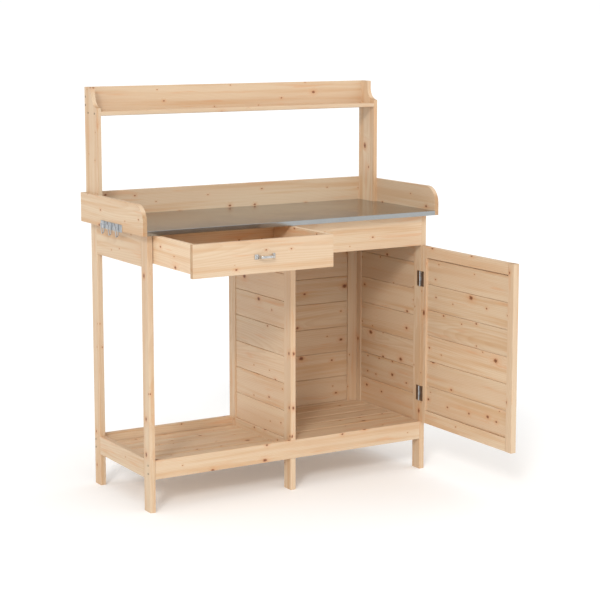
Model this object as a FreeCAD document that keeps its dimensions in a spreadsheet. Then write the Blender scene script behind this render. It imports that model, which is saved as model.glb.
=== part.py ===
"""Potting bench: a softwood bench with a metal-faced top, one drawer, a cabinet with one door,
a slatted lower shelf, side wings, a back board and a small shelf on two uprights.

Bench coordinates, in millimetres: X runs to the right from the outer face of the left legs,
Y runs back from the front face of the legs, and Z runs up from the floor. Every formula below
is written in them. The part's own origin is the bottom centre of the box around the bench as
it stands here, drawer pulled out and door open, so each placement takes that centre off.
"""
import FreeCAD, Part
import os
import re

import Sketcher

document = FreeCAD.newDocument("potting_bench")

# ---------------------------------------------------------------- driving dimensions

DIMENSIONS = {
    # frame
    "leg_span": (1056, "outer face to outer face of the end legs"),
    "leg_reach": (422, "front face to back face of the legs"),
    "leg_thick": (19, "leg size across the bench"),
    "leg_wide": (44, "leg size front to back"),
    "middle_at": (517, "left face of the middle legs"),
    "rail_low": (107, "underside of the lower rails"),
    "rail_tall": (62, "height of the lower rails"),
    "apron_tall": (105, "height of the boards under the worktop"),
    "deck_low": (890, "underside of the worktop"),
    "wood_ease": (1.5, "radius of the eased long edges"),
    # worktop, wings, uprights and top shelf
    "deck_thick": (14, "thickness of the worktop board"),
    "sheet_thick": (1, "thickness of the metal facing"),
    "lip_round": (0.9, "outer radius where the facing turns down"),
    "deck_over": (31, "worktop overhang in front of the legs"),
    "deck_back": (424, "back edge of the worktop"),
    "board_thick": (14, "thickness of wings, uprights and back boards"),
    "board_wide": (96, "width of wings, uprights and back boards"),
    "wing_round": (56, "radius of the wings' top front corner"),
    "upright_top": (1332, "top of the uprights"),
    "neck_cut": (42, "how much narrower the uprights are at the top"),
    "neck_low": (1308, "where the straight neck ends and its curve begins"),
    "shelf_low": (1242, "underside of the top shelf"),
    "shelf_thick": (12, "thickness of the top shelf"),
    # lower shelf and cabinet
    "slat_thick": (16, "thickness of the lower slats"),
    "floor_slat_wide": (72, "width of the cabinet floor's slats"),
    "floor_slat_count": (5, "slats in the cabinet floor"),
    "floor_drop": (1.5, "cabinet floor below the top of the rails"),
    "shelf_slat_wide": (60, "width of the open shelf's slats"),
    "shelf_slat_count": (6, "slats in the open shelf"),
    "shelf_drop": (29, "open shelf below the top of the rails"),
    "cleat_size": (16, "height and width of the strips under the slats"),
    "plank_thick": (12, "thickness of the cladding planks"),
    "plank_wide": (92, "cover width of a cladding plank"),
    "plank_gap": (0.6, "open joint between two planks"),
    "plank_bevel": (1.8, "bevel on the planks' long edges"),
    "batten_wide": (39, "width of the two battens on the cabinet's back"),
    "batten_thick": (7, "thickness of the battens"),
    # drawer
    "drawer_out": (265, "how far the drawer stands open here"),
    "drawer_gap": (2, "gap round the drawer front"),
    "front_thick": (16, "thickness of the drawer front"),
    "front_tall": (103, "height of the drawer front"),
    "side_rise": (13.5, "drawer sides start this far above the front's lower edge"),
    "side_long": (345, "length of the drawer sides"),
    "side_thick": (14, "thickness of the drawer sides and back"),
    "tray_rise": (4, "drawer bottom above the sides' lower edge"),
    "tray_thick": (5, "thickness of the drawer bottom"),
    "runner_tall": (12, "height of the runners that the drawer slides on"),
    "runner_wide": (18, "width of the runners"),
    "runner_play": (0.3, "play between runners and drawer"),
    # door
    "door_wide": (508, "door from its hinge edge to its free edge"),
    "door_low": (168.5, "underside of the door"),
    "door_tall": (615, "height of the door"),
    "door_thick": (20, "thickness of the door frame"),
    "door_gap": (0.8, "gap between the door's hinge edge and the leg"),
    "stile_wide": (30, "width of the door stiles"),
    "head_tall": (38, "height of the door's top rail"),
    "head_gap": (2.5, "open gap between the door's top rail and its first plank"),
    "foot_tall": (44, "height of the door's bottom rail"),
    "panel_inset": (6, "door planks behind the frame's inner face"),
    # hinges
    "hinge_tall": (52, "height of a hinge"),
    "hinge_first": (269.5, "middle of the lower hinge above the floor"),
    "hinge_second": (670, "middle of the upper hinge above the floor"),
    "leaf_wide": (19, "hinge leaf from the pin's axis to its edge"),
    "leaf_thick": (1.5, "thickness of a hinge leaf"),
    "pin_inset": (3.4, "hinge axis in front of the face that the leaves lie on"),
    "pin_back": (2.9, "hinge axis behind the front of the leg"),
    "barrel_radius": (3, "outer radius of the hinge barrel"),
    "pin_radius": (1.25, "radius of the hinge pin"),
    "bore_radius": (1.3, "radius of the hinge barrel's bore"),
    "leaf_clear": (1, "gap from the barrel to the other leaf's plate"),
    "barrel_gap": (0.3, "gap between two lengths of the barrel"),
    # handles and hooks
    "grip_wide": (72, "length of a handle over its feet"),
    "grip_tall": (12, "width of a handle's strap"),
    "grip_reach": (24, "how far a handle stands out"),
    "grip_thick": (2.5, "thickness of a handle's strap"),
    "grip_foot": (11, "length of a handle's foot"),
    "grip_inset": (34, "door handle from the middle of the free stile"),
    "grip_up": (369, "middle of the door handle above the door's lower edge"),
    "grip_outer_bend": (8, "radius of a handle's bends on the outside"),
    "grip_inner_bend": (5.5, "radius of the same bends on the inside"),
    "foot_outer_bend": (2, "radius where a handle turns down to its feet, outside"),
    "foot_inner_bend": (4, "radius where a handle turns down to its feet, inside"),
    "hook_pitch": (54, "distance from one hook to the next"),
    "hook_first": (145, "middle of the front hook"),
    "hook_plate": (50, "length of a hook's plate"),
    "hook_tall": (24, "height of a hook's plate"),
    "hook_low": (886, "lower edge of the hooks' plates"),
    "hook_drop": (18, "depth of a hook below its plate"),
    "hook_reach": (11, "how far a hook stands out from its plate"),
    "hook_wide": (6, "width of a hook's strap"),
    "hook_thick": (2, "thickness of a hook's plate and strap"),
    "hook_tip": (18, "tip of a hook above the lower edge of its plate"),
    "hook_bend": (3.85, "inner radius of a hook's bends"),
    "hook_count": (3, "number of hooks"),
    # screw heads
    "screw_radius": (3.6, "radius of a screw head"),
    "screw_proud": (0.8, "height of a screw head over the wood"),
    "screw_front": (14, "screws of the front rails behind the front of the legs"),
    "screw_back": (413, "screws of the back rails behind the front of the legs"),
    "screw_low": (125.5, "lower screw of a rail"),
    "screw_pitch": (27, "distance between the two screws of one board"),
    "screw_shelf": (20, "front screw of the top shelf behind the front of the upright"),
    "screw_shelf_pitch": (50, "distance between the top shelf's two screws"),
    "screw_top": (32, "upper screw of the shelf's back board below its top"),
}

sheet = document.addObject("Spreadsheet::Sheet", "dims")
for row, (alias, (value, note)) in enumerate(DIMENSIONS.items(), start=1):
    sheet.set(f"A{row}", alias)
    sheet.set(f"B{row}", str(value))
    sheet.setAlias(f"B{row}", alias)
    sheet.set(f"C{row}", note)
document.recompute()

ALIAS = re.compile(r"\b(" + "|".join(DIMENSIONS) + r")\b")

# names for places that several pieces share, each a formula in the sheet's aliases
RIGHT_LEG_AT = "(leg_span - leg_thick)"
BACK_LEG_AT = "(leg_reach - leg_wide)"
RAIL_TOP = "(rail_low + rail_tall)"
APRON_LOW = "(deck_low - apron_tall)"
DECK_TOP = "(deck_low + deck_thick + sheet_thick)"
MIDDLE_RIGHT = "(middle_at + leg_thick)"
SIDE_LONG = "(leg_reach - 2 * leg_wide)"
FLOOR_LOW = "(rail_low + rail_tall - floor_drop - slat_thick)"
SHELF_LOW = "(rail_low + rail_tall - shelf_drop - slat_thick)"
HINGE_X = "(leg_span - leg_thick - pin_inset)"
DOOR_FREE = "(-door_gap - door_wide)"
LEFT_END = "(-2 * board_thick - 2 * hook_thick - hook_reach)"
RIGHT_END = "(leg_span + 2 * board_thick)"
CENTRE_X = f"({LEFT_END} + {RIGHT_END}) / 2"
CENTRE_Y = f"({DOOR_FREE} + deck_back + board_thick) / 2"


def sheet_formula(formula):
    """The formula with every alias written as a cell of the sheet."""
    return ALIAS.sub(r"dims.\1", formula)


def size(alias):
    """The value of one cell."""
    return float(sheet.get(alias))


def bind(thing, where, formula):
    """Bind one property of a document object to a formula in the sheet's aliases."""
    thing.setExpression(where, sheet_formula(formula))


def place(thing, at):
    """Bind a sub-part's placement to a point in bench coordinates."""
    x, y, z = at
    bind(thing, "Placement.Base.x", f"{x} - {CENTRE_X}")
    bind(thing, "Placement.Base.y", f"{y} - {CENTRE_Y}")
    bind(thing, "Placement.Base.z", z)


nodes = []


def as_node(thing, label, at):
    """Name an object as a sub-part and put it in its place."""
    thing.Label = label
    place(thing, at)
    nodes.append(thing)
    return thing


def solid(kind, values):
    """A Part primitive whose named properties are bound to formulas."""
    primitive = document.addObject(f"Part::{kind}", kind.lower())
    for name, formula in values.items():
        bind(primitive, name, formula)
    return primitive


# ---------------------------------------------------------------- boards

PLANES = {
    "x": ("YZ_Plane", (1, 2), False),
    "y": ("XZ_Plane", (0, 2), True),
    "z": ("XY_Plane", (0, 1), False),
}


def origin_plane(body, role):
    """One of a body's own origin planes."""
    return next(plane for plane in body.Origin.OriginFeatures if plane.Role == role)


def fix_point(sketch, at, point):
    """Hold one point of a sketch at a distance from its origin, given as two formulas."""
    for kind, formula in (("DistanceX", at[0]), ("DistanceY", at[1])):
        index = sketch.addConstraint(Sketcher.Constraint(kind, -1, 1, *point, 5.0))
        bind(sketch, f"Constraints[{index}]", formula)


def rectangle(body, role, low, span, name):
    """A sketch of one rectangle: low corner and size are pairs of formulas."""
    sketch = body.newObject("Sketcher::SketchObject", name)
    sketch.AttachmentSupport = (origin_plane(body, role), [""])
    sketch.MapMode = "FlatFace"
    corners = [FreeCAD.Vector(x, y, 0) for x, y in ((5, 5), (15, 5), (15, 15), (5, 15))]
    for start, end in zip(corners, corners[1:] + corners[:1]):
        sketch.addGeometry(Part.LineSegment(start, end), False)
    for line in range(4):
        sketch.addConstraint(Sketcher.Constraint("Coincident", line, 2, (line + 1) % 4, 1))
    sketch.addConstraint([
        Sketcher.Constraint("Horizontal", 0),
        Sketcher.Constraint("Vertical", 1),
        Sketcher.Constraint("Horizontal", 2),
        Sketcher.Constraint("Vertical", 3),
    ])
    for line, start, formula in ((0, "DistanceX", span[0]), (1, "DistanceY", span[1])):
        index = sketch.addConstraint(Sketcher.Constraint(start, line, 1, line, 2, 10.0))
        bind(sketch, f"Constraints[{index}]", formula)
    fix_point(sketch, low, (0, 1))
    return sketch


PARALLEL = 0.999
EDGE_SEEN = 0.5


def edges_along(shape, direction, keep=lambda middle: True):
    """Names of the straight edges that run along a direction and whose middle is wanted."""
    names = []
    for number, edge in enumerate(shape.Edges, start=1):
        ends = edge.Vertexes
        run = ends[-1].Point - ends[0].Point
        if run.Length and abs(run.normalize().dot(direction)) > PARALLEL:
            if keep(edge.CenterOfMass):
                names.append(f"Edge{number}")
    return names


AXES = {
    "x": FreeCAD.Vector(1, 0, 0),
    "y": FreeCAD.Vector(0, 1, 0),
    "z": FreeCAD.Vector(0, 0, 1),
}


def plain_board(label, grain, span, at):
    """A board as a body: a rectangle across the grain, padded along it. span is (X, Y, Z)."""
    role, across, reversed_pad = PLANES[grain]
    body = document.addObject("PartDesign::Body", "board")
    sketch = rectangle(body, role, ("0", "0"), [span[axis] for axis in across], "section")
    pad = body.newObject("PartDesign::Pad", "length")
    pad.Profile = sketch
    pad.Reversed = reversed_pad
    bind(pad, "Length", span["xyz".index(grain)])
    as_node(body, label, at)
    document.recompute()
    return body


def round_edges(body, names, radius, kind="PartDesign::Fillet"):
    """Fillet or chamfer some edges of a body's last feature."""
    base = body.Tip
    feature = body.newObject(kind, "eased")
    feature.Base = (base, names)
    bind(feature, "Radius" if kind.endswith("Fillet") else "Size", radius)
    document.recompute()


def board(label, grain, span, at):
    """A board whose long edges are eased."""
    body = plain_board(label, grain, span, at)
    round_edges(body, edges_along(body.Tip.Shape, AXES[grain]), "wood_ease")
    return body


def pocket(body, role, low, span, depth, reversed_cut=False):
    """Cut a rectangle out of a body and check that it took material away."""
    before = body.Shape.Volume
    sketch = rectangle(body, role, low, span, "notch")
    cut = body.newObject("PartDesign::Pocket", "cut")
    cut.Profile = sketch
    cut.Reversed = reversed_cut
    bind(cut, "Length", depth)
    document.recompute()
    if body.Shape.Volume > before - 1:
        raise RuntimeError(f"{body.Label}: the notch cuts nothing")


# ---------------------------------------------------------------- legs and rails

def legs():
    """Six legs; the middle pair is notched where the long rails cross it."""
    for side, x in (("left", "0"), ("right", RIGHT_LEG_AT)):
        for end, y in (("front", "0"), ("back", BACK_LEG_AT)):
            board(f"leg_{end}_{side}", "z", ("leg_thick", "leg_wide", "deck_low"), (x, y, "0"))
    front = board("leg_front_middle", "z", ("leg_thick", "leg_wide", "deck_low"),
                  ("middle_at", "0", "0"))
    pocket(front, "YZ_Plane", ("0", "rail_low"), ("leg_thick", "rail_tall"), "leg_thick", True)
    back = board("leg_back_middle", "z", ("leg_thick", "leg_wide", "deck_low"),
                 ("middle_at", BACK_LEG_AT, "0"))
    notch_at = "leg_wide - leg_thick"
    pocket(back, "YZ_Plane", (notch_at, "rail_low"), ("leg_thick", "rail_tall"),
           "leg_thick", True)
    pocket(back, "YZ_Plane", (notch_at, APRON_LOW), ("leg_thick", "apron_tall"),
           "leg_thick", True)


def rails():
    """Lower rails all round and across the middle, and the boards under the worktop."""
    long_span = "leg_span - 2 * leg_thick"
    back_face = "leg_reach - leg_thick"
    for end, y in (("front", "0"), ("back", back_face)):
        board(f"lower_rail_{end}", "x", (long_span, "leg_thick", "rail_tall"),
              ("leg_thick", y, "rail_low"))
    crosswise = (("left", "0"), ("middle", "middle_at"), ("right", RIGHT_LEG_AT))
    for side, x in crosswise:
        board(f"lower_rail_{side}", "y", ("leg_thick", SIDE_LONG, "rail_tall"),
              (x, "leg_wide", "rail_low"))
        board(f"upper_rail_{side}", "y", ("leg_thick", SIDE_LONG, "apron_tall"),
              (x, "leg_wide", APRON_LOW))
    board("upper_rail_back", "x", (long_span, "leg_thick", "apron_tall"),
          ("leg_thick", back_face, APRON_LOW))
    board("apron_front_right", "x",
          (f"{RIGHT_LEG_AT} - {MIDDLE_RIGHT}", "leg_thick", "apron_tall"),
          (MIDDLE_RIGHT, "0", APRON_LOW))


# ---------------------------------------------------------------- rows of equal boards

def row_of_boards(label, grain, span, at, row, ease=("wood_ease", "Fillet"), topper=None):
    """Equal boards side by side in one node; each stays a separate solid.

    row is (axis, count, pitch). A topper is one more board of another height in a row that
    runs upwards, given as (how far up it starts, its height).
    """
    along, count, pitch = row
    body = plain_board(label, grain, span, at)
    pattern = body.newObject("PartDesign::LinearPattern", "row")
    pattern.Originals = [body.Tip]
    role = f"{along.upper()}_Axis"
    axis = next(line for line in body.Origin.OriginFeatures if line.Role == role)
    pattern.Direction = (axis, [""])
    bind(pattern, "Length", f"({pitch}) * ({count} - 1)")
    bind(pattern, "Occurrences", str(count))
    body.Tip = pattern
    document.recompute()
    if topper:
        role, across, reversed_pad = PLANES[grain]
        low, tall = topper
        sketch = rectangle(body, role, ("0", low), (span[across[0]], tall), "top_section")
        pad = body.newObject("PartDesign::Pad", "top_length")
        pad.Profile = sketch
        pad.Reversed = reversed_pad
        bind(pad, "Length", span["xyz".index(grain)])
        document.recompute()
    radius, kind = ease
    round_edges(body, edges_along(body.Tip.Shape, AXES[grain]), radius, f"PartDesign::{kind}")
    return body


# ---------------------------------------------------------------- lower shelf and cabinet

PLANK_EASE = ("plank_bevel", "Chamfer")


def slat_gap(bay):
    """The open gap between two slats of a bay, the same as at its front and back rails."""
    return (f"((leg_reach - 2 * leg_thick - {bay}_slat_count * {bay}_slat_wide)"
            f" / ({bay}_slat_count + 1))")


def slats():
    """Slats from end to end of each bay, on strips fixed to the cross rails."""
    gap = slat_gap("shelf")
    for number in range(int(size("shelf_slat_count"))):
        y = f"leg_thick + {gap} + {number} * ({gap} + shelf_slat_wide)"
        board(f"shelf_slat_{number + 1}", "x",
              ("middle_at - leg_thick", "shelf_slat_wide", "slat_thick"),
              ("leg_thick", y, SHELF_LOW))
    gap = slat_gap("floor")
    row_of_boards("cabinet_floor_slats", "x",
                  (f"{RIGHT_LEG_AT} - {MIDDLE_RIGHT}", "floor_slat_wide", "slat_thick"),
                  (MIDDLE_RIGHT, f"leg_thick + {gap}", FLOOR_LOW),
                  ("y", "floor_slat_count", f"({gap} + floor_slat_wide)"))
    cleats = document.addObject("Part::Compound", "cleats")
    cleats.Links = [
        solid("Box", {
            "Length": "cleat_size",
            "Width": SIDE_LONG,
            "Height": "cleat_size",
            "Placement.Base.x": x,
            "Placement.Base.z": f"{top} - cleat_size",
        })
        for x, top in (("leg_thick", SHELF_LOW), ("middle_at - cleat_size", SHELF_LOW),
                       (MIDDLE_RIGHT, FLOOR_LOW), (f"{RIGHT_LEG_AT} - cleat_size", FLOOR_LOW))
    ]
    as_node(cleats, "slat_cleats", ("0", "leg_wide", "0"))


def cladding():
    """Planks from the lower rails to the boards above, on three sides of the cabinet."""
    room = size("deck_low") - size("apron_tall") - size("rail_low") - size("rail_tall")
    full_planks = int(room // size("plank_wide"))
    reached = f"{full_planks} * plank_wide"
    topper = (reached, f"{APRON_LOW} - {RAIL_TOP} - {reached}")
    tall = "plank_wide - plank_gap"
    inset = "(leg_thick - plank_thick) / 2"
    wide = f"{RIGHT_LEG_AT} - {MIDDLE_RIGHT}"
    walls = (
        ("cabinet_divider_planks", "y", ("plank_thick", SIDE_LONG, tall),
         (f"middle_at + {inset}", "leg_wide", RAIL_TOP)),
        ("cabinet_side_planks", "y", ("plank_thick", SIDE_LONG, tall),
         (f"{RIGHT_LEG_AT} + {inset}", "leg_wide", RAIL_TOP)),
        ("cabinet_back_planks", "x", (wide, "plank_thick", tall),
         (MIDDLE_RIGHT, "leg_reach - plank_thick", RAIL_TOP)),
    )
    for label, grain, span, at in walls:
        row_of_boards(label, grain, span, at, ("z", full_planks, "plank_wide"), PLANK_EASE,
                      topper)
    row_of_boards("cabinet_back_battens", "z",
                  ("batten_wide", "batten_thick", f"{APRON_LOW} - {RAIL_TOP}"),
                  (MIDDLE_RIGHT, "leg_reach - plank_thick - batten_thick", RAIL_TOP),
                  ("x", 2, f"{wide} - batten_wide"))


# ---------------------------------------------------------------- worktop and what stands on it

def worktop():
    """The board of the worktop and its metal facing, turned down over the front edge."""
    wide = "leg_span + 2 * board_thick"
    board_deep = "deck_back + deck_over - sheet_thick"
    plain_board("worktop_board", "x", (wide, board_deep, "deck_thick"),
                ("-board_thick", "sheet_thick - deck_over", "deck_low"))
    facing = plain_board("worktop_facing", "x",
                         (wide, "deck_back + deck_over", "deck_thick + sheet_thick"),
                         ("-board_thick", "-deck_over", "deck_low"))
    pocket(facing, "YZ_Plane", ("sheet_thick", "0"), (board_deep, "deck_thick"), wide, True)
    front_edge = edges_along(facing.Tip.Shape, AXES["x"],
                             lambda middle: middle.y < EDGE_SEEN and middle.z > size("deck_thick"))
    round_edges(facing, front_edge, "lip_round")


def wings_and_backsplash():
    """Side wings with a rounded front corner, and the board behind the worktop."""
    deep = "deck_back + board_thick + deck_over"
    for side, x in (("left", "-2 * board_thick"), ("right", "leg_span + board_thick")):
        wing = plain_board(f"wing_{side}", "y", ("board_thick", deep, "board_wide"),
                           (x, "-deck_over", "deck_low"))
        corner = edges_along(wing.Tip.Shape, AXES["x"],
                             lambda middle: middle.y < EDGE_SEEN < middle.z)
        round_edges(wing, corner, "wing_round")
    board("backsplash", "x", ("leg_span + 2 * board_thick", "board_thick", "board_wide"),
          ("-board_thick", "deck_back", "deck_low"))


def cut_round(body, role, at, radius, depth):
    """Take a round bite out of a body: centre as a pair of formulas, then its radius."""
    sketch = body.newObject("Sketcher::SketchObject", "bite")
    sketch.AttachmentSupport = (origin_plane(body, role), [""])
    sketch.MapMode = "FlatFace"
    sketch.addGeometry(Part.Circle(FreeCAD.Vector(5, 5, 0), FreeCAD.Vector(0, 0, 1), 4), False)
    index = sketch.addConstraint(Sketcher.Constraint("Radius", 0, 4.0))
    bind(sketch, f"Constraints[{index}]", radius)
    fix_point(sketch, at, (0, 3))
    before = body.Shape.Volume
    cut = body.newObject("PartDesign::Pocket", "cut")
    cut.Profile = sketch
    cut.Reversed = True
    bind(cut, "Length", depth)
    document.recompute()
    if body.Shape.Volume > before - 1:
        raise RuntimeError(f"{body.Label}: the round cut takes nothing")


def uprights_and_shelf():
    """Two uprights on the worktop's ends, narrower at the top, with a shelf between them."""
    tall = f"upright_top - {DECK_TOP}"
    front = "deck_back - board_wide"
    neck = f"neck_low - {DECK_TOP}"
    for side, x in (("left", "-board_thick"), ("right", "leg_span")):
        upright = plain_board(f"upright_{side}", "z", ("board_thick", "board_wide", tall),
                              (x, front, DECK_TOP))
        pocket(upright, "YZ_Plane", ("0", neck), ("neck_cut", "upright_top - neck_low"),
               "board_thick", True)
        cut_round(upright, "YZ_Plane", ("0", neck), "neck_cut", "board_thick")
    board("top_shelf", "x", ("leg_span", "board_wide - board_thick", "shelf_thick"),
          ("0", front, "shelf_low"))
    board("top_shelf_back", "x", ("leg_span", "board_thick", "board_wide"),
          ("0", "deck_back - board_thick", "upright_top - board_wide"))


# ---------------------------------------------------------------- drawer

DRAWER_LOW = "(deck_low - drawer_gap - front_tall)"


def drawer():
    """A drawer of five boards, standing open, and the two runners it slides on."""
    face = "(-drawer_out)"
    inner = f"({face} + front_thick)"
    left = "(leg_thick + drawer_gap)"
    wide = "(middle_at - leg_thick - 2 * drawer_gap)"
    side_low = f"({DRAWER_LOW} + side_rise)"
    side_tall = "(front_tall - side_rise)"
    board("drawer_front", "x", (wide, "front_thick", "front_tall"), (left, face, DRAWER_LOW))
    for side, x in (("left", left), ("right", f"{left} + {wide} - side_thick")):
        plain_board(f"drawer_side_{side}", "y", ("side_thick", "side_long", side_tall),
                    (x, inner, side_low))
    between = f"{wide} - 2 * side_thick"
    plain_board("drawer_back", "x", (between, "side_thick", side_tall),
                (f"{left} + side_thick", f"{inner} + side_long - side_thick", side_low))
    plain_board("drawer_bottom", "x", (between, "side_long - side_thick", "tray_thick"),
                (f"{left} + side_thick", inner, f"{side_low} + tray_rise"))
    for side, x in (("left", "leg_thick"), ("right", "middle_at - runner_wide")):
        board(f"drawer_runner_{side}", "y", ("runner_wide", SIDE_LONG, "runner_tall"),
              (x, "leg_wide", f"{side_low} - runner_tall - runner_play"))


# ---------------------------------------------------------------- door and hinges

def door():
    """A framed door with horizontal planks, standing open at a right angle."""
    inner = RIGHT_LEG_AT
    between = "(door_wide - 2 * stile_wide)"
    top = "(door_low + door_tall - head_tall)"
    for end, y in (("hinge", "-door_gap - stile_wide"), ("free", DOOR_FREE)):
        board(f"door_stile_{end}_side", "z", ("door_thick", "stile_wide", "door_tall"),
              (inner, y, "door_low"))
    for end, z, tall in (("top", top, "head_tall"), ("bottom", "door_low", "foot_tall")):
        board(f"door_rail_{end}", "y", ("door_thick", between, tall),
              (inner, f"{DOOR_FREE} + stile_wide", z))
    room = size("door_tall") - size("head_tall") - size("foot_tall") - size("head_gap")
    count = round(room / size("plank_wide"))
    pitch = f"((door_tall - head_tall - foot_tall - head_gap) / {count})"
    row_of_boards("door_planks", "y", ("plank_thick", between, f"{pitch} - plank_gap"),
                  (f"{inner} + panel_inset", f"{DOOR_FREE} + stile_wide",
                   "door_low + foot_tall + plank_gap / 2"),
                  ("z", count, pitch), PLANK_EASE)


def hinge_leaf(lengths, plate, tongue):
    """A hinge leaf about the pin's axis.

    plate and tongue are (start, length) along Y as formulas: the plate is as tall as the
    hinge, and a tongue joins it to each length of barrel, given as (start, length) along Z.
    """
    back = "pin_inset - leaf_thick"
    pieces = [solid("Box", {
        "Length": "leaf_thick",
        "Width": plate[1],
        "Height": "hinge_tall",
        "Placement.Base.x": back,
        "Placement.Base.y": plate[0],
    })]
    for low, tall in lengths:
        pieces.append(solid("Cylinder", {
            "Radius": "barrel_radius",
            "Height": tall,
            "Placement.Base.z": low,
        }))
        pieces.append(solid("Box", {
            "Length": "leaf_thick",
            "Width": tongue[1],
            "Height": tall,
            "Placement.Base.x": back,
            "Placement.Base.y": tongue[0],
            "Placement.Base.z": low,
        }))
    whole = document.addObject("Part::MultiFuse", "fused")
    whole.Shapes = pieces
    whole.Refine = True
    bore = solid("Cylinder", {"Radius": "bore_radius", "Height": "hinge_tall"})
    leaf = document.addObject("Part::Cut", "leaf")
    leaf.Base = whole
    leaf.Tool = bore
    return leaf


def hinges():
    """Two butt hinges: one leaf on the leg, one on the door's inner face, and a pin."""
    third = "(hinge_tall / 3)"
    ends = (("0", f"{third} - barrel_gap"),
            (f"2 * {third} + barrel_gap", f"{third} - barrel_gap"))
    middle = ((third, third),)
    clear = "(barrel_radius + leaf_clear)"
    plate_long = f"leaf_wide - {clear}"
    for name, centre in (("lower", "hinge_first"), ("upper", "hinge_second")):
        at = (HINGE_X, "pin_back", f"{centre} - hinge_tall / 2")
        on_leg = hinge_leaf(ends, (clear, plate_long), ("0", clear))
        on_door = hinge_leaf(middle, ("-leaf_wide", plate_long), (f"-{clear}", clear))
        as_node(on_leg, f"hinge_{name}_leg_leaf", at)
        as_node(on_door, f"hinge_{name}_door_leaf", at)
        pin = solid("Cylinder", {"Radius": "pin_radius", "Height": "hinge_tall"})
        as_node(pin, f"hinge_{name}_pin", at)
    document.recompute()


# ---------------------------------------------------------------- bent metal and screws

def bent_strip(outline, wide, bends):
    """A strip cut from an outline in one plane, pushed across by wide, its bends rounded.

    bends pairs each radius with the points of the outline that it rounds.
    """
    face = Part.Face(Part.makePolygon(outline + outline[:1]))
    strip = face.extrude(wide)
    for radius, points in bends:
        middles = [point + wide * 0.5 for point in points]
        edges = [edge for edge in strip.Edges
                 if any(edge.CenterOfMass.isEqual(middle, 0.01) for middle in middles)]
        strip = strip.makeFillet(radius, edges)
    return strip


def grip(label, along, out, at):
    """A bow handle with a foot at each end: it lies along one axis and stands out along another."""
    half = size("grip_wide") / 2
    thick = size("grip_thick")
    reach = size("grip_reach")
    leg_in = half - size("grip_foot")
    leg_out = leg_in + thick
    outer = [(half, 0), (half, thick), (leg_out, thick), (leg_out, reach)]
    inner = [(leg_in, reach - thick), (leg_in, 0)]
    mirrored = [[(-a, b) for a, b in side] for side in (outer, inner)]
    loop = mirrored[0] + outer[::-1] + inner[::-1] + mirrored[1]
    width = along.cross(out) * size("grip_tall")

    def spot(a, b):
        return along * a + out * b - width * 0.5

    def pair(a, b):
        return [spot(a, b), spot(-a, b)]

    bends = (
        (size("grip_outer_bend"), pair(leg_out, reach)),
        (size("grip_inner_bend"), pair(leg_in, reach - thick)),
        (size("foot_outer_bend"), pair(leg_out, thick)),
        (size("foot_inner_bend"), pair(leg_in, 0)),
    )
    feature = document.addObject("Part::Feature", "grip")
    feature.Shape = bent_strip([spot(a, b) for a, b in loop], width, bends)
    as_node(feature, label, at)


def handles():
    """One handle along the drawer front, one upright on the outside of the door."""
    middle_of_front = f"({DRAWER_LOW} + front_tall / 2)"
    grip("drawer_handle", AXES["x"], -AXES["y"],
         ("(leg_thick + middle_at) / 2", "-drawer_out", middle_of_front))
    grip("door_handle", AXES["z"], AXES["x"],
         (f"{RIGHT_LEG_AT} + door_thick", f"{DOOR_FREE} + stile_wide / 2 + grip_inset",
          "door_low + grip_up"))


def hooks():
    """Three equal hooks on the outside of the left wing, each a plate with an upturned strap."""
    thick = size("hook_thick")
    reach = size("hook_reach")
    tall = size("hook_tall")
    drop = size("hook_drop")
    wide = size("hook_wide")
    tip = size("hook_tip")
    outer = 2 * thick + reach
    side_view = ((thick, tall), (thick, -drop), (outer, -drop), (outer, tip),
                 (outer - thick, tip), (outer - thick, thick - drop),
                 (2 * thick, thick - drop), (2 * thick, tall))
    outline = [FreeCAD.Vector(-out, -wide / 2, up) for out, up in side_view]
    across = AXES["y"] * wide
    bend = size("hook_bend")
    bends = ((bend + thick, outline[1:3]), (bend, outline[5:7]))
    strap = bent_strip(outline, across, bends)
    plate = Part.makeBox(thick, size("hook_plate"), tall,
                         FreeCAD.Vector(-thick, -size("hook_plate") / 2, 0))
    hook = plate.fuse(strap).removeSplitter()
    pitch = size("hook_pitch")
    feature = document.addObject("Part::Feature", "hooks")
    feature.Shape = Part.makeCompound(
        [hook.translated(AXES["y"] * pitch * number)
         for number in range(int(size("hook_count")))])
    as_node(feature, "tool_hooks", ("-2 * board_thick", "hook_first", "hook_low"))


def screw_heads():
    """Heads of the screws that show on the outside of the legs and the uprights."""
    low = size("screw_low")
    pitch = size("screw_pitch")
    on_leg = [(y, z) for y in (size("screw_front"), size("screw_back"))
              for z in (low, low + pitch)]
    shelf = size("shelf_low") + size("shelf_thick") / 2
    first = size("deck_back") - size("board_wide") + size("screw_shelf")
    behind = size("deck_back") - size("board_thick") / 2
    top = size("upright_top") - size("screw_top")
    on_upright = [(first, shelf), (first + size("screw_shelf_pitch"), shelf),
                  (behind, top), (behind, top - pitch)]
    proud = size("screw_proud")
    board_thick = size("board_thick")
    head = Part.makeCylinder(size("screw_radius"), proud, FreeCAD.Vector(), AXES["x"])
    heads = []
    for stand_out, spots in ((0, on_leg), (board_thick, on_upright)):
        for y, z in spots:
            heads.append(head.translated(FreeCAD.Vector(-stand_out - proud, y, z)))
            heads.append(head.translated(FreeCAD.Vector(size("leg_span") + stand_out, y, z)))
    feature = document.addObject("Part::Feature", "heads")
    feature.Shape = Part.makeCompound(heads)
    as_node(feature, "frame_screws", ("0", "0", "0"))


# ---------------------------------------------------------------- build, check and write

legs()
rails()
slats()
cladding()
worktop()
wings_and_backsplash()
uprights_and_shelf()
drawer()
door()
hinges()
handles()
hooks()
screw_heads()
document.recompute()

for thing in document.Objects:
    if "Invalid" in thing.State or "Error" in thing.State:
        raise RuntimeError(f"{thing.Label} failed to build")

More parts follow.
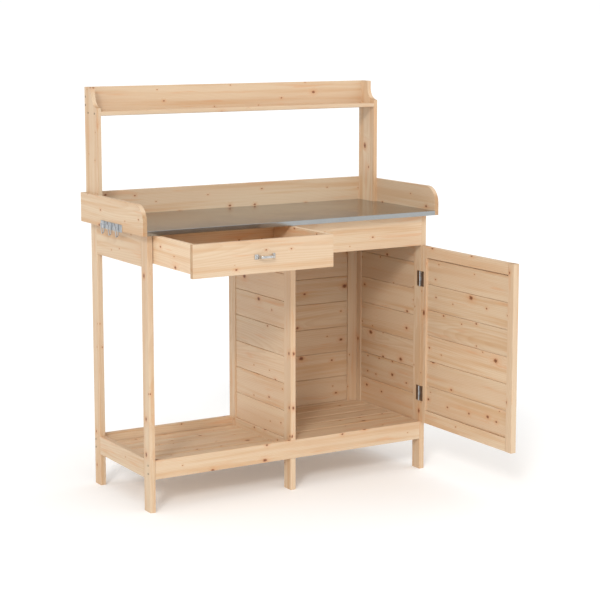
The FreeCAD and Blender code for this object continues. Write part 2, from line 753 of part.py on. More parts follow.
os.makedirs("parts", exist_ok=True)
for node in nodes:
    shape = node.Shape
    if shape.isNull() or not shape.isValid():
        raise RuntimeError(f"{node.Label} has no valid shape")
    shape.exportStep(f"parts/{node.Label}.step")
print(f"{len(nodes)} sub-parts written")
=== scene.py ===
"""The looks of the potting bench: softwood, galvanised worktop, zinc-plated fittings.

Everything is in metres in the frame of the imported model: X to the right of the bench, Y to its
back, Z up. The wooden boards and the metal facing are the CAD nodes with procedural materials.
The handles, hooks, hinges and screw heads are modelled here in more detail and stand for theirs.
"""
import math

import bmesh
import bpy
from mathutils import Matrix, Vector


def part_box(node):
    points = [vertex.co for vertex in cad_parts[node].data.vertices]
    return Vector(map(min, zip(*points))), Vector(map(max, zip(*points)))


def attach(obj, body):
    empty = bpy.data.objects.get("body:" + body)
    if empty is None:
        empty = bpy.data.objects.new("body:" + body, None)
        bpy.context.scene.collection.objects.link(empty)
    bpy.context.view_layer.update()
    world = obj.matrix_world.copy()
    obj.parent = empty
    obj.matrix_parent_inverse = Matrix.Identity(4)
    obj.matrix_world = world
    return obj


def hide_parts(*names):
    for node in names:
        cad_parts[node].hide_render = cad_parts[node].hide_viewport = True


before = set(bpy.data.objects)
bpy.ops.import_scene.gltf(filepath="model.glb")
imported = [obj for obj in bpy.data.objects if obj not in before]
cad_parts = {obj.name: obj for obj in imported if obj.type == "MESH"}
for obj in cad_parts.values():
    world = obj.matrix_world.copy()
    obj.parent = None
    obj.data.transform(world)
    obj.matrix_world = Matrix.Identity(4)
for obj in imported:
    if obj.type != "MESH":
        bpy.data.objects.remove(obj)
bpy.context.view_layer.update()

MM = 0.001
AXIS_NAMES = "XYZ"


# ---------------------------------------------------------------- shader helpers

def linear(red, green, blue):
    """A screen colour, 0 to 255 a channel, as the linear colour that a socket takes."""
    def channel(value):
        share = value / 255
        return share / 12.92 if share <= 0.04045 else ((share + 0.055) / 1.055) ** 2.4
    return (channel(red), channel(green), channel(blue), 1.0)


class Nodes:
    """A node tree whose nodes are added and linked in one call each."""

    def __init__(self, tree):
        self.tree = tree

    def put(self, socket, value):
        """Link a socket to another, or set it to a constant."""
        if isinstance(value, bpy.types.NodeSocket):
            self.tree.links.new(value, socket)
        elif value is not None:
            socket.default_value = value

    def node(self, kind, inputs=(), **settings):
        """A node of one kind with its settings, and its inputs by name or number."""
        made = self.tree.nodes.new("ShaderNode" + kind)
        for key, value in settings.items():
            setattr(made, key, value)
        for key, value in dict(inputs).items():
            self.put(made.inputs[key], value)
        return made

    def math(self, operation, first, second=None, third=None, clamp=False):
        made = self.node("Math", {0: first, 1: second, 2: third}, operation=operation,
                         use_clamp=clamp)
        return made.outputs[0]

    def vector(self, operation, first, second=None):
        made = self.node("VectorMath", {0: first, 1: second}, operation=operation)
        return made.outputs["Value" if operation in ("LENGTH", "DOT_PRODUCT") else "Vector"]

    def combine(self, x=0.0, y=0.0, z=0.0):
        return self.node("CombineXYZ", {0: x, 1: y, 2: z}).outputs[0]

    def step(self, value, low, high, bottom=0.0, top=1.0):
        """A smooth step of value from low to high, from bottom to top."""
        return self.node("MapRange", {0: value, 1: low, 2: high, 3: bottom, 4: top},
                         interpolation_type="SMOOTHSTEP").outputs[0]

    def mix(self, share, first, second, blend="MIX"):
        """Two colours mixed by a share."""
        made = self.node("Mix", data_type="RGBA", blend_type=blend)
        self.put(made.inputs[0], share)
        self.put(made.inputs[6], first)
        self.put(made.inputs[7], second)
        return made.outputs[2]

    def noise(self, where, scale, detail=2.0, roughness=0.5):
        return self.node("TexNoise", {"Vector": where, "Scale": scale, "Detail": detail,
                                      "Roughness": roughness}).outputs[0]


class Shader(Nodes):
    """A material and its nodes."""

    def __init__(self, name):
        self.material = bpy.data.materials.new(name)
        self.material.use_nodes = True
        super().__init__(self.material.node_tree)
        self.surface = self.tree.nodes["Principled BSDF"]

    def finish(self, colour=None, bump=None, bump_depth=0.0005, bump_strength=0.3, **constants):
        """Put colour and relief on the surface; the other values are constants on its sockets."""
        self.put(self.surface.inputs["Base Color"], colour)
        if bump is not None:
            relief = self.node("Bump", {"Strength": bump_strength, "Distance": bump_depth,
                                        "Height": bump})
            self.put(self.surface.inputs["Normal"], relief.outputs[0])
        for key, value in constants.items():
            self.put(self.surface.inputs[key.replace("_", " ")], value)
        return self.material


# ---------------------------------------------------------------- wood

WOOD_PALE = linear(214, 190, 160)
WOOD_WARM = linear(203, 167, 129)
WOOD_PINK = linear(208, 178, 147)
WOOD_LATE = linear(186, 144, 104)
FLARE = linear(206, 142, 92)
KNOT_RING = linear(178, 116, 72)
KNOT_BODY = linear(138, 84, 50)
KNOT_HEART = linear(84, 50, 30)
END_TINT = linear(226, 212, 196)

RING_WIDTH = 5.0 * MM
PITH_AWAY = 62 * MM
PITH_TURN = 2.4
PITH_WANDER = 0.095
WANDER_ALONG = 1.1
RING_RAGGED = 0.0045
RAGGED_ALONG = 5.0
RAGGED_ACROSS = 40.0
RING_ROUND_KNOT = 0.009
# late wood darkens slowly across a ring and ends sharply, in shares of the ring
LATE_RISE = (0.25, 0.92)
LATE_FALL = (1.0, 0.93)

SEED_ALONG = 1.37
SEED_ACROSS = 0.731
ROW_SHIFT = 9.0
ROW_TONE = 0.10

KNOT_CELL_LONG = 0.098
KNOT_CELL_WIDE = 0.062
KNOT_SHARE = 0.60
KNOT_STRETCH = 1.45
KNOT_SMALLEST = 1.6 * MM
KNOT_SPREAD = 5.2 * MM
KNOT_RARITY = 3.0
KNOT_SCATTER = 0.9
WOBBLE_SCALE = 240.0
WOBBLE_REACH = 0.9
WOBBLE_LEAST = 0.55
# where each zone of a knot fades out and is full, in knot radii
RING_ZONE = (1.8, 0.8)
BODY_ZONE = (1.05, 0.75)
HEART_ZONE = (0.62, 0.20)
PULL_ZONE = (6.0, 0.8)
FLARE_ZONE = (5.0, 1.0)

# (length along the grain, width across it, detail) of each kind of streak
WARM_STREAK = (0.55, 0.021, 3.0)
PINK_STREAK = (0.80, 0.090, 1.0)
BLUSH_STREAK = (0.16, 0.016, 2.0)
FIBRE_STREAK = (0.030, 0.0011, 2.0)
# the noise values between which a streak fades in
WARM_FADE = (0.42, 0.70)
PINK_FADE = (0.35, 0.70)
BLUSH_FADE = (0.58, 0.74)

# end grain fades in as this share of a face's normal lies along the grain
END_FADE = (0.75, 0.95)
SPECKLE = 0.10
LATE_RAISED = 0.5
KNOT_SUNK = -0.8
WOOD_RELIEF = 0.0004
WOOD_RELIEF_STRENGTH = 0.35
WOOD_ROUGHNESS = 0.55
WOOD_SPECULAR = 0.5


def wood(name, node, grain, seed, rows=None, tone=1.0, knots=1.0):
    """Planed fir or spruce with its grain along one axis of the frame.

    rows, for a node that holds several boards side by side, is (axis, start, pitch): each
    board then gets its own grain. tone scales a board's brightness, and knots scales the size
    and number of its knots.
    """
    shader = Shader(name)
    low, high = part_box(node)
    place = shader.node("TexCoord").outputs["Object"]
    parts = shader.node("SeparateXYZ", {0: place})
    along = AXIS_NAMES.index(grain)
    across = [axis for axis in range(3) if axis != along]
    shift = seed * SEED_ALONG
    board_tone = tone
    if rows:
        axis, start, pitch = rows
        number = shader.math("FLOOR", shader.math(
            "DIVIDE", shader.math("SUBTRACT", parts.outputs[AXIS_NAMES.index(axis)], start), pitch))
        chance = shader.node("TexWhiteNoise", {"W": shader.math("ADD", number, seed + 0.5)},
                             noise_dimensions="1D")
        random = chance.outputs["Value"]
        shift = shader.math("MULTIPLY_ADD", random, ROW_SHIFT, shift)
        board_tone = shader.math("MULTIPLY_ADD", random, ROW_TONE, tone - ROW_TONE / 2)
    run = shader.math("ADD", parts.outputs[along], shift)
    first, second = (parts.outputs[axis] for axis in across)

    # knots lie on a plane that is unrolled round the board's edges
    unrolled = shader.math("ADD", shader.math("ADD", first, second), seed * SEED_ACROSS)
    cell = shader.combine(shader.math("DIVIDE", run, KNOT_CELL_LONG),
                          shader.math("DIVIDE", unrolled, KNOT_CELL_WIDE))
    nearest = shader.node("TexVoronoi", {"Vector": cell, "Scale": 1.0,
                                         "Randomness": KNOT_SCATTER},
                          voronoi_dimensions="2D", feature="F1")
    away = shader.vector("SUBTRACT", nearest.outputs["Position"], cell)
    scaled = shader.vector("MULTIPLY", away,
                           (KNOT_CELL_LONG / KNOT_STRETCH, KNOT_CELL_WIDE, 0.0))
    distance = shader.vector("LENGTH", scaled)
    wobble = shader.noise(place, WOBBLE_SCALE, 1.0)
    distance = shader.math("MULTIPLY", distance, shader.math(
        "MULTIPLY_ADD", wobble, WOBBLE_REACH, WOBBLE_LEAST))
    dice = shader.node("SeparateColor", {0: nearest.outputs["Color"]})
    there = shader.math("LESS_THAN", dice.outputs[0], KNOT_SHARE * knots)
    radius = shader.math("MULTIPLY_ADD", shader.math("POWER", dice.outputs[1], KNOT_RARITY),
                         KNOT_SPREAD * knots, KNOT_SMALLEST * knots)
    reach = shader.math("DIVIDE", distance, radius)
    ring, body, heart, pull, flare = (
        shader.math("MULTIPLY", shader.step(reach, outer, inner), there)
        for outer, inner in (RING_ZONE, BODY_ZONE, HEART_ZONE, PULL_ZONE, FLARE_ZONE))

    # growth rings about a pith that lies beside the board and wanders along it
    wander = shader.noise(shader.combine(
        shader.math("MULTIPLY", run, WANDER_ALONG), first, second), 1.0, 1.0)
    middle = (low + high) / 2
    turn = seed * PITH_TURN
    pith = [middle[across[0]] + PITH_AWAY * math.cos(turn),
            middle[across[1]] + PITH_AWAY * math.sin(turn)]
    off_pith = shader.vector("LENGTH", shader.combine(
        shader.math("SUBTRACT", first, pith[0]), shader.math("SUBTRACT", second, pith[1])))
    ragged = shader.noise(shader.combine(
        shader.math("MULTIPLY", run, RAGGED_ALONG), shader.math("MULTIPLY", first, RAGGED_ACROSS),
        shader.math("MULTIPLY", second, RAGGED_ACROSS)), 1.0, 2.0)
    growth = shader.math("ADD", off_pith, shader.math("MULTIPLY", wander, PITH_WANDER))
    growth = shader.math("ADD", growth, shader.math("MULTIPLY", ragged, RING_RAGGED))
    growth = shader.math("ADD", growth, shader.math("MULTIPLY", pull, RING_ROUND_KNOT))
    rings = shader.math("FRACT", shader.math("DIVIDE", growth, RING_WIDTH))
    late = shader.math("MULTIPLY", shader.step(rings, *LATE_RISE), shader.step(rings, *LATE_FALL))

    def streak(length, width, detail):
        """Noise drawn out along the grain: its length and width in metres."""
        return shader.noise(shader.combine(
            shader.math("DIVIDE", run, length), shader.math("DIVIDE", first, width),
            shader.math("DIVIDE", second, width)), 1.0, detail)

    warm = shader.step(streak(*WARM_STREAK), *WARM_FADE)
    pink = shader.step(streak(*PINK_STREAK), *PINK_FADE)
    blush = shader.step(streak(*BLUSH_STREAK), *BLUSH_FADE)
    fibre = streak(*FIBRE_STREAK)

    colour = shader.mix(warm, WOOD_PALE, WOOD_WARM)
    for share, strength, tint in (
            (pink, 0.6, WOOD_PINK), (late, 0.22, WOOD_LATE), (blush, 0.32, FLARE),
            (flare, 0.26, FLARE), (ring, 0.50, KNOT_RING), (body, 0.88, KNOT_BODY),
            (heart, 0.75, KNOT_HEART)):
        colour = shader.mix(shader.math("MULTIPLY", share, strength), colour, tint)
    normal = shader.node("SeparateXYZ", {0: shader.node("TexCoord").outputs["Normal"]})
    end = shader.step(shader.math("ABSOLUTE", normal.outputs[along]), *END_FADE)
    colour = shader.mix(end, colour, shader.mix(1.0, colour, END_TINT, "MULTIPLY"))
    speckle = shader.math("MULTIPLY_ADD", fibre, SPECKLE, 1 - SPECKLE / 2)
    value = shader.math("MULTIPLY", speckle, board_tone)
    colour = shader.vector("MULTIPLY", colour, shader.combine(value, value, value))
    relief = shader.math("MULTIPLY_ADD", late, LATE_RAISED, fibre)
    relief = shader.math("ADD", relief, shader.math("MULTIPLY", body, KNOT_SUNK))
    return shader.finish(colour, relief, WOOD_RELIEF, WOOD_RELIEF_STRENGTH,
                         Roughness=WOOD_ROUGHNESS, Specular_IOR_Level=WOOD_SPECULAR)


# ---------------------------------------------------------------- metals

def sheet_metal():
    """The worktop's smooth galvanised sheet, with rolling marks and faint clouds."""
    shader = Shader("galvanised_sheet")
    place = shader.node("TexCoord").outputs["Object"]
    drawn = shader.vector("MULTIPLY", place, (6.0, 420.0, 420.0))
    rolled = shader.noise(drawn, 1.0, 3.0)
    clouds = shader.noise(place, 9.0, 4.0, 0.6)
    spangle = shader.node("TexVoronoi", {"Vector": place, "Scale": 170.0}, feature="F1")
    flake = shader.node("SeparateColor", {0: spangle.outputs["Color"]}).outputs[0]
    shade = shader.math("ADD", shader.math("MULTIPLY", clouds, 0.35),
                        shader.math("MULTIPLY", flake, 0.10))
    colour = shader.mix(shade, linear(166, 168, 168), linear(134, 137, 139))
    rough = shader.math("MULTIPLY_ADD", clouds, 0.10, 0.13)
    shader.put(shader.surface.inputs["Roughness"], rough)
    return shader.finish(colour, rolled, 0.00008, 0.25, Metallic=1.0)


def plated(name, colour, darker, roughness, grime=0.35):
    """Zinc-plated or burnished steel: cloudy, finely scratched, duller in patches."""
    shader = Shader(name)
    place = shader.node("TexCoord").outputs["Object"]
    clouds = shader.noise(place, 55.0, 4.0, 0.65)
    scratches = shader.noise(shader.vector("MULTIPLY", place, (300.0, 300.0, 2500.0)), 1.0, 2.0)
    blend = shader.math("MULTIPLY", shader.step(clouds, 0.35, 0.75), grime)
    mixed = shader.mix(blend, colour, darker)
    rough = shader.math("MULTIPLY_ADD", clouds, 0.18, roughness - 0.06)
    shader.put(shader.surface.inputs["Roughness"], rough)
    return shader.finish(mixed, scratches, 0.00005, 0.2, Metallic=1.0)


zinc = plated("zinc_plate", linear(188, 191, 194), linear(132, 136, 140), 0.30, 0.5)
bright_zinc = plated("bright_zinc", linear(206, 205, 203), linear(140, 139, 138), 0.22, 0.6)
dark_steel = plated("burnished_steel", linear(150, 132, 116), linear(104, 90, 78), 0.42)
screw_steel = plated("screw_steel", linear(150, 138, 122), linear(96, 84, 72), 0.40)


# ---------------------------------------------------------------- the wooden nodes

def grain_of(node):
    """The grain of a single board runs along its longest side."""
    low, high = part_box(node)
    sides = high - low
    return AXIS_NAMES[max(range(3), key=lambda axis: sides[axis])]


ROW_EASE = 0.3 * MM
PLANK_COVER = 92 * MM


def plank_rows(node, axis, count):
    """(axis, start, pitch) of equal boards that fill a node's box along one axis."""
    low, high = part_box(node)
    number = AXIS_NAMES.index(axis)
    return (axis, low[number] - ROW_EASE, (high[number] - low[number] + 2 * ROW_EASE) / count)


def clad_rows(node):
    """The rows of a cladding wall: planks of full cover width from the bottom up."""
    return ("Z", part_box(node)[0][2] - ROW_EASE, PLANK_COVER)


ROWS = {
    "cabinet_divider_planks": ("Y", clad_rows("cabinet_divider_planks")),
    "cabinet_side_planks": ("Y", clad_rows("cabinet_side_planks")),
    "cabinet_back_planks": ("X", clad_rows("cabinet_back_planks")),
    "cabinet_floor_slats": ("X", plank_rows("cabinet_floor_slats", "Y", 5)),
    "cabinet_back_battens": ("Z", plank_rows("cabinet_back_battens", "X", 2)),
    "door_planks": ("Y", plank_rows("door_planks", "Z", 6)),
    "slat_cleats": ("Y", plank_rows("slat_cleats", "X", 4)),
}
# five tones, shuffled over the nodes
TONE_SPREAD = 0.05
TONES = 5
TONE_STEP = 7
# the drawer's sides, back and bottom, and its runners, are lighter than the other wood
TRAY_TONE = 1.10
LEG_KNOTS = 0.8
FEWER_KNOTS = {"drawer_front": 0.45, "apron_front_right": 0.6, "wing_left": 0.8,
               "lower_rail_front": 0.75, "backsplash": 0.8, "top_shelf_back": 0.8}
METAL_WORDS = ("hinge", "handle", "hooks", "screws", "facing")


def is_wood(node):
    """Metal shows in a node's name, but the door's hinge stile is wood."""
    return not any(word in node for word in METAL_WORDS) or node.startswith("door_stile")


def paint(piece, material):
    """Give a piece one material in all its slots."""
    piece.data.materials.clear()
    piece.data.materials.append(material)


for seed, node in enumerate(sorted(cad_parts), start=1):
    if not is_wood(node):
        continue
    grain, rows = ROWS.get(node, (grain_of(node), None))
    shade = 1.0 - TONE_SPREAD * ((seed * TONE_STEP) % TONES) / (TONES - 1)
    if node.startswith("drawer") and node != "drawer_front":
        shade = TRAY_TONE
    knots = FEWER_KNOTS.get(node, LEG_KNOTS if node.startswith("leg") else 1.0)
    paint(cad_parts[node], wood("wood_" + node, node, grain, seed, rows, shade, knots))

paint(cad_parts["worktop_facing"], sheet_metal())


# ---------------------------------------------------------------- mesh helpers

SMOOTH_UP_TO = math.radians(38)


def mesh_piece(name, mesh, material, body, replaced=()):
    """Make a mesh a finished piece: smooth, coloured, riding on its body."""
    piece = bpy.data.objects.new(name, mesh)
    bpy.context.scene.collection.objects.link(piece)
    mesh.materials.append(material)
    mesh.shade_smooth()
    mesh.set_sharp_from_angle(angle=SMOOTH_UP_TO)
    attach(piece, body)
    if replaced:
        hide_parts(*replaced)
    return piece


def to_mesh(name, bm):
    """Turn a bmesh into a mesh with its normals outwards."""
    bmesh.ops.recalc_face_normals(bm, faces=bm.faces)
    mesh = bpy.data.meshes.new(name)
    bm.to_mesh(mesh)
    bm.free()
    return mesh


def rounded_path(corners, radii, steps=7):
    """Points of an open path whose inner corners are arcs of the given radii."""
    points = [corners[0]]
    for before, corner, after, radius in zip(corners, corners[1:], corners[2:], radii):
        back = (before - corner).normalized()
        ahead = (after - corner).normalized()
        half = back.angle(ahead) / 2
        start = corner + back * (radius / math.tan(half))
        centre = corner + (back + ahead).normalized() * (radius / math.sin(half))
        axis = (start - centre).cross(ahead).normalized()
        sweep_angle = math.pi - 2 * half
        for number in range(steps + 1):
            turn = Matrix.Rotation(sweep_angle * number / steps, 3, axis)
            points.append(centre + turn @ (start - centre))
    points.append(corners[-1])
    return points


def rounded_section(wide, thick, edge, steps=3):
    """A rectangle with rounded corners, as (across, out) pairs in order."""
    section = []
    for number, (side_a, side_b) in enumerate(((1, 1), (-1, 1), (-1, -1), (1, -1))):
        for step in range(steps + 1):
            angle = math.pi / 2 * (number + step / steps)
            section.append((side_a * (wide / 2 - edge) + edge * math.cos(angle),
                            side_b * (thick / 2 - edge) + edge * math.sin(angle)))
    return section


def sweep(bm, path, across, sections):
    """Sweep closed sections along a flat path; across is the path plane's normal."""
    rings = []
    for number, point in enumerate(path):
        ahead = path[min(number + 1, len(path) - 1)] - path[max(number - 1, 0)]
        out = across.cross(ahead.normalized())
        rings.append([bm.verts.new(point + across * a + out * b) for a, b in sections[number]])
    count = len(rings[0])
    for ring, following in zip(rings, rings[1:]):
        for corner in range(count):
            other = (corner + 1) % count
            bm.faces.new((ring[corner], ring[other], following[other], following[corner]))
    bm.faces.new(rings[0])
    bm.faces.new(rings[-1][::-1])


def turned(bm, at, axis, profile, around=28):
    """A turned shape: profile is (height along axis, radius) pairs from end to end."""
    turn = axis.to_track_quat("Z", "Y").to_matrix()
    rings = []
    for height, radius in profile:
        rings.append([bm.verts.new(at + turn @ Vector((
            radius * math.cos(2 * math.pi * step / around),
            radius * math.sin(2 * math.pi * step / around), height)))
            for step in range(around)])
    for ring, following in zip(rings, rings[1:]):
        for step in range(around):
            other = (step + 1) % around
            bm.faces.new((ring[step], ring[other], following[other], following[step]))
    bm.faces.new(rings[0][::-1])
    bm.faces.new(rings[-1])


def plate(bm, low, high, bevel):
    """A box with all its edges bevelled."""
    made = bmesh.ops.create_cube(bm, size=1.0)["verts"]
    centre = (low + high) / 2
    sides = high - low
    for vert in made:
        vert.co = centre + Vector(c * side for c, side in zip(vert.co, sides))
    edges = list({edge for vert in made for edge in vert.link_edges})
    bmesh.ops.bevel(bm, geom=edges, offset=bevel, segments=2, profile=0.5, affect="EDGES")


# shares of the head's radius
CROSS_ARM = 0.62
CROSS_HALF = 0.15
CROSS_DEEP = 0.25
# (share of the radius, share of the height) of the dome, from the top
DOME = ((0.80, 0.92), (0.96, 0.60))
RIM_SUNK = 0.1 * MM
BASE_BELOW = 0.2 * MM


def screw_head(bm, at, out, radius, proud):
    """A low domed head with a cross recess, standing proud of a face along out."""
    turn = out.to_track_quat("Z", "Y").to_matrix()
    arm = CROSS_ARM * radius
    half = CROSS_HALF * radius
    cross = []
    for quarter in range(4):
        spin = Matrix.Rotation(math.pi / 2 * quarter, 3, "Z")
        for x, y in ((half, half), (half, arm), (-half, arm)):
            cross.append(spin @ Vector((x, y, 0)))
    around = len(cross)
    rim_angles = [math.atan2(point.y, point.x) for point in cross]

    def circle(share, height):
        return [Vector((share * radius * math.cos(a), share * radius * math.sin(a), height))
                for a in rim_angles]

    floor = -CROSS_DEEP * radius
    levels = [
        [point + Vector((0, 0, floor)) for point in cross],
        [point + Vector((0, 0, proud)) for point in cross],
        *(circle(share, proud * height) for share, height in DOME),
        circle(1.0, -RIM_SUNK),
    ]
    rings = [[bm.verts.new(at + turn @ point) for point in level] for level in levels]
    for ring, following in zip(rings, rings[1:]):
        for step in range(around):
            other = (step + 1) % around
            bm.faces.new((ring[step], ring[other], following[other], following[step]))
    bm.faces.new(rings[0])
    base = [bm.verts.new(at + turn @ (point + Vector((0, 0, floor - BASE_BELOW))))
            for point in circle(1.0, 0.0)]
    for step in range(around):
        other = (step + 1) % around
        bm.faces.new((rings[-1][step], rings[-1][other], base[other], base[step]))
    bm.faces.new(base[::-1])


WELD = 0.01 * MM


def islands(node):
    """The low and high corners of each separate solid in a CAD node's mesh."""
    bm = bmesh.new()
    bm.from_mesh(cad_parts[node].data)
    bmesh.ops.remove_doubles(bm, verts=bm.verts, dist=WELD)
    left = set(bm.verts)
    found = []
    while left:
        group = [left.pop()]
        for vert in group:
            for edge in vert.link_edges:
                other = edge.other_vert(vert)
                if other in left:
                    left.discard(other)
                    group.append(other)
        low = Vector(min(vert.co[axis] for vert in group) for axis in range(3))
        high = Vector(max(vert.co[axis] for vert in group) for axis in range(3))
        found.append((low, high))
    bm.free()
    return sorted(found, key=lambda corner: tuple(round(value, 5) for value in corner[0]))


# ---------------------------------------------------------------- handles

FOOT_TALL = 15.5 * MM
BAR_TALL = 8 * MM
FOOT_THICK = 2.2 * MM
BAR_THICK = 4.2 * MM
FOOT_LONG = 11 * MM
FOOT_BEND = 3 * MM
BAR_BEND = 8 * MM
LEG_LEAN = 5 * MM
# the corner radius as a share of the thickness
EDGE_SHARE = 0.42
# a leg has narrowed from FOOT_TALL to BAR_TALL after 1 / NARROWING of its rise
NARROWING = 1.6
PULL_SCREW_AT = 4.6 * MM
PULL_SCREW = 2.0 * MM
PULL_SCREW_PROUD = 0.5 * MM


def pull(name, node, body, long_axis, out_axis):
    """A bow handle: a flat foot at each end, legs that taper inwards, and a rounded bar.

    long_axis is 0, 1 or 2. out_axis is 1, 2 or 3, with the sign of the side that it faces.
    """
    low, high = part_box(node)
    middle = (low + high) / 2
    along = Vector(1.0 if axis == long_axis else 0.0 for axis in range(3))
    out = Vector(0.0 for axis in range(3))
    out[abs(out_axis) - 1] = math.copysign(1.0, out_axis)
    face = low if out_axis > 0 else high
    base = middle.copy()
    base[abs(out_axis) - 1] = face[abs(out_axis) - 1]
    half = (high - low)[long_axis] / 2
    reach = (high - low)[abs(out_axis) - 1]
    rise = FOOT_THICK / 2
    top = reach - BAR_THICK / 2
    inner = half - FOOT_LONG
    corners = [base + along * a + out * b for a, b in (
        (-half, rise), (-inner, rise), (LEG_LEAN - inner, top), (inner - LEG_LEAN, top),
        (inner, rise), (half, rise))]
    path = rounded_path(corners, (FOOT_BEND, BAR_BEND, BAR_BEND, FOOT_BEND))
    across = along.cross(out)
    sections = []
    for point in path:
        share = max(0.0, min(1.0, ((point - base).dot(out) - rise) / (top - rise)))
        wide = FOOT_TALL + (BAR_TALL - FOOT_TALL) * min(1.0, share * NARROWING)
        thick = FOOT_THICK + (BAR_THICK - FOOT_THICK) * share
        sections.append(rounded_section(wide, thick, thick * EDGE_SHARE))
    bm = bmesh.new()
    sweep(bm, path, across, sections)
    for end in (-1, 1):
        for side in (-1, 1):
            spot = base + along * end * (half - FOOT_LONG / 2) + across * side * PULL_SCREW_AT
            screw_head(bm, spot + out * FOOT_THICK, out, PULL_SCREW, PULL_SCREW_PROUD)
    return mesh_piece(name, to_mesh(name, bm), bright_zinc, body, (node,))


pull("drawer_pull", "drawer_handle", "drawer", 0, -2)
pull("door_pull", "door_handle", "door", 2, 1)


# ---------------------------------------------------------------- tool hooks

HOOK_THICK = 2 * MM
HOOK_WIDE = 4.5 * MM
HOOK_DROP = 18 * MM
HOOK_TIP = 18 * MM
HOOK_BEND = 4.8 * MM
HOOK_BEVEL = 0.5 * MM
STRAP_BELOW_TOP = 0.5 * MM
STRAP_EDGE = 0.6 * MM
HOOK_SCREW_AT = 15 * MM
HOOK_SCREW = 2.6 * MM
HOOK_SCREW_PROUD = 0.7 * MM


def hooks():
    """Three plates on the left wing, each with an upturned strap and two screws."""
    bm = bmesh.new()
    across = Vector((0, 1, 0))
    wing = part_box("wing_left")[0].x
    for low, high in islands("tool_hooks"):
        centre = (low.y + high.y) / 2
        foot = low.z + HOOK_DROP
        plate(bm, Vector((wing - HOOK_THICK, low.y, foot)), Vector((wing, high.y, high.z)),
              HOOK_BEVEL)
        near = wing - 1.5 * HOOK_THICK
        far = low.x + HOOK_THICK / 2
        corners = [Vector((near, centre, high.z - STRAP_BELOW_TOP)),
                   Vector((near, centre, low.z + HOOK_THICK / 2)),
                   Vector((far, centre, low.z + HOOK_THICK / 2)),
                   Vector((far, centre, foot + HOOK_TIP))]
        path = rounded_path(corners, (HOOK_BEND, HOOK_BEND))
        section = rounded_section(HOOK_WIDE, HOOK_THICK, STRAP_EDGE)
        sweep(bm, path, across, [section] * len(path))
        for side in (-1, 1):
            spot = Vector((wing - HOOK_THICK, centre + side * HOOK_SCREW_AT, (foot + high.z) / 2))
            screw_head(bm, spot, Vector((-1, 0, 0)), HOOK_SCREW, HOOK_SCREW_PROUD)
    mesh_piece("hook_set", to_mesh("hook_set", bm), zinc, "bench",
               ("tool_hooks",))


hooks()


# ---------------------------------------------------------------- hinges

PIN_HEAD = 0.6 * MM
LEAF_SCREW = 2.0 * MM
LEAF_THICK = 1.5 * MM
LEAF_SCREW_PROUD = 0.35 * MM
LEAF_BEVEL = 0.35 * MM
LEAF_CLEAR = 1 * MM
KNUCKLE_LAP = 0.5 * MM
KNUCKLE_BEVEL = 0.2 * MM
PIN_TAPER = 0.7
BARREL = 3.0 * MM
BARREL_EASE = 0.4 * MM
BARREL_GAP = 0.15 * MM


def hinge(name):
    """Leaves with three screws each, a three-part barrel, and a pin with chamfered ends."""
    pin_low, pin_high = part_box(f"hinge_{name}_pin")
    axis_at = (pin_low + pin_high) / 2
    tall = pin_high.z - pin_low.z
    third = tall / 3
    ends = ((pin_low.z, third), (pin_high.z - third, third))
    up = Vector((0, 0, 1))
    for part, body, side, lengths in (
            ("leg", "bench", 1, ends),
            ("door", "door", -1, ((pin_low.z + third, third),))):
        node = f"hinge_{name}_{part}_leaf"
        low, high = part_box(node)
        face = high.x
        near = axis_at.y + side * (BARREL + LEAF_CLEAR)
        far = high.y if side > 0 else low.y
        bm = bmesh.new()
        plate(bm, Vector((face - LEAF_THICK, min(near, far), pin_low.z)),
              Vector((face, max(near, far), pin_high.z)), LEAF_BEVEL)
        for level in (-1, 0, 1):
            spot = Vector((face - LEAF_THICK, (near + far) / 2, axis_at.z + level * third))
            screw_head(bm, spot, Vector((-1, 0, 0)), LEAF_SCREW, LEAF_SCREW_PROUD)
        mesh_piece(f"hinge_{name}_{part}_plate", to_mesh(node, bm), dark_steel, body,
                   (node,))
        bm = bmesh.new()
        for start, length in lengths:
            tall_part = length - 2 * BARREL_GAP
            turned(bm, Vector((axis_at.x, axis_at.y, start + BARREL_GAP)), up, (
                (0, BARREL - BARREL_EASE), (BARREL_EASE, BARREL),
                (tall_part - BARREL_EASE, BARREL), (tall_part, BARREL - BARREL_EASE)))
            reach = sorted((axis_at.y, near + side * KNUCKLE_LAP))
            plate(bm, Vector((face - LEAF_THICK, reach[0], start + BARREL_GAP)),
                  Vector((face, reach[1], start + length - BARREL_GAP)), KNUCKLE_BEVEL)
        mesh_piece(f"hinge_{name}_{part}_barrel", to_mesh(node + "_barrel", bm), zinc, body)
    bm = bmesh.new()
    radius = (pin_high.x - pin_low.x) / 2
    turned(bm, Vector((axis_at.x, axis_at.y, pin_low.z - PIN_HEAD)), up, (
        (0, radius * PIN_TAPER), (PIN_HEAD / 2, radius), (tall + 1.5 * PIN_HEAD, radius),
        (tall + 2 * PIN_HEAD, radius * PIN_TAPER)))
    mesh_piece(f"hinge_{name}_rod", to_mesh("rod", bm), zinc, "bench",
               (f"hinge_{name}_pin",))


for hinge_name in ("lower", "upper"):
    hinge(hinge_name)


# ---------------------------------------------------------------- screw heads

def frame_screws():
    """Cross-recessed heads where the CAD model has plain ones, each facing out of its side."""
    bm = bmesh.new()
    for low, high in islands("frame_screws"):
        side = math.copysign(1.0, (low.x + high.x) / 2)
        centre = (low + high) / 2
        centre.x = low.x if side > 0 else high.x
        screw_head(bm, centre, Vector((side, 0, 0)), (high.z - low.z) / 2, high.x - low.x)
    mesh_piece("screw_heads", to_mesh("screw_heads", bm), screw_steel, "bench",
               ("frame_screws",))


frame_screws()


# ---------------------------------------------------------------- floor, light and camera

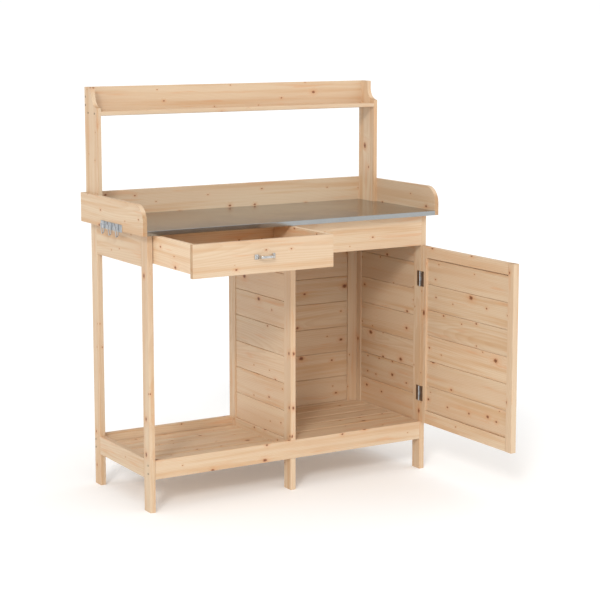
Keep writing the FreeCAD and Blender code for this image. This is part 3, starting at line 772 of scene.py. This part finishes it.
FLOOR_SIZE = 4000
FLOOR_BELOW = 0.0002
FLOOR_GLOW = 0.10
KEY_TOWARDS = Vector((-0.94, -1.0, 0.76)).normalized()
KEY_SOFTNESS = math.radians(12)
KEY_STRENGTH = 1.12
# a sun shines the same from any distance
KEY_AWAY = 5
HORIZON_LIGHT = 1.03
# degrees above the horizon
HORIZON_BAND = (1.5, 8)
SOFTBOX_TOWARDS = (0.0, -0.6, 0.8)
SOFTBOX_EDGE = (-0.15, 0.55)
SOFTBOX_LIGHT = 1.10
ROOM_LIGHT = 0.30


def floor():
    """A plain pale floor, far larger than the bench."""
    bpy.ops.mesh.primitive_plane_add(size=FLOOR_SIZE, location=(0, 0, -FLOOR_BELOW))
    ground = bpy.context.object
    ground.name = "floor"
    shader = Shader("floor_white")
    place = shader.node("TexCoord").outputs["Object"]
    tint = shader.mix(shader.noise(place, 0.6, 1.0), linear(250, 250, 249),
                      linear(246, 246, 246))
    ground.data.materials.append(shader.finish(
        tint, Roughness=0.9, Emission_Color=(1, 1, 1, 1), Emission_Strength=FLOOR_GLOW))


def lights():
    """A soft key from the front left, a wide soft light above and in front, a pale horizon."""
    lamp = bpy.data.lights.new("key", "SUN")
    lamp.angle = KEY_SOFTNESS
    lamp.energy = KEY_STRENGTH
    lamp.color = (1.0, 0.99, 0.97)
    key = bpy.data.objects.new("key", lamp)
    bpy.context.scene.collection.objects.link(key)
    key.location = KEY_TOWARDS * KEY_AWAY
    key.rotation_euler = (-KEY_TOWARDS).to_track_quat("-Z", "Y").to_euler()

    world = bpy.data.worlds.new("studio")
    world.use_nodes = True
    bpy.context.scene.world = world
    sky = Nodes(world.node_tree)
    direction = sky.node("TexCoord").outputs["Generated"]
    facing = sky.vector("DOT_PRODUCT", direction, SOFTBOX_TOWARDS)
    softbox = sky.step(facing, *SOFTBOX_EDGE, ROOM_LIGHT, SOFTBOX_LIGHT)
    height = sky.node("SeparateXYZ", {0: direction}).outputs[2]
    low, high = (math.sin(math.radians(angle)) for angle in HORIZON_BAND)
    light = sky.node("Mix", data_type="FLOAT")
    for number, value in ((0, sky.step(height, low, high)), (2, HORIZON_LIGHT), (3, softbox)):
        sky.put(light.inputs[number], value)
    background = world.node_tree.nodes["Background"]
    sky.put(background.inputs["Strength"], light.outputs[0])
    background.inputs["Color"].default_value = (1, 1, 1, 1)


CAMERA_FROM_CORNER = Vector((-2.261, -4.675, 1.5613))
# on the floor, at the outer front corner of the front left leg
CORNER = Vector((-0.5205, 0.0354, 0.0))
CAMERA_YAW = 31.041
CAMERA_PITCH = 8.380
CAMERA_LENS = 101.12
CAMERA_SHIFT = -0.06


def camera():
    """A long lens from the front left, higher than the bench, looking slightly down."""
    data = bpy.data.cameras.new("camera")
    data.sensor_width = 36
    data.lens = CAMERA_LENS
    data.shift_y = CAMERA_SHIFT
    data.clip_end = 2 * FLOOR_SIZE
    view = bpy.data.objects.new("camera", data)
    bpy.context.scene.collection.objects.link(view)
    view.location = CAMERA_FROM_CORNER + CORNER
    view.rotation_euler = (math.radians(90 - CAMERA_PITCH), 0, -math.radians(CAMERA_YAW))
    bpy.context.scene.camera = view


floor()
lights()
camera()
bpy.context.scene.view_settings.view_transform = "Standard"
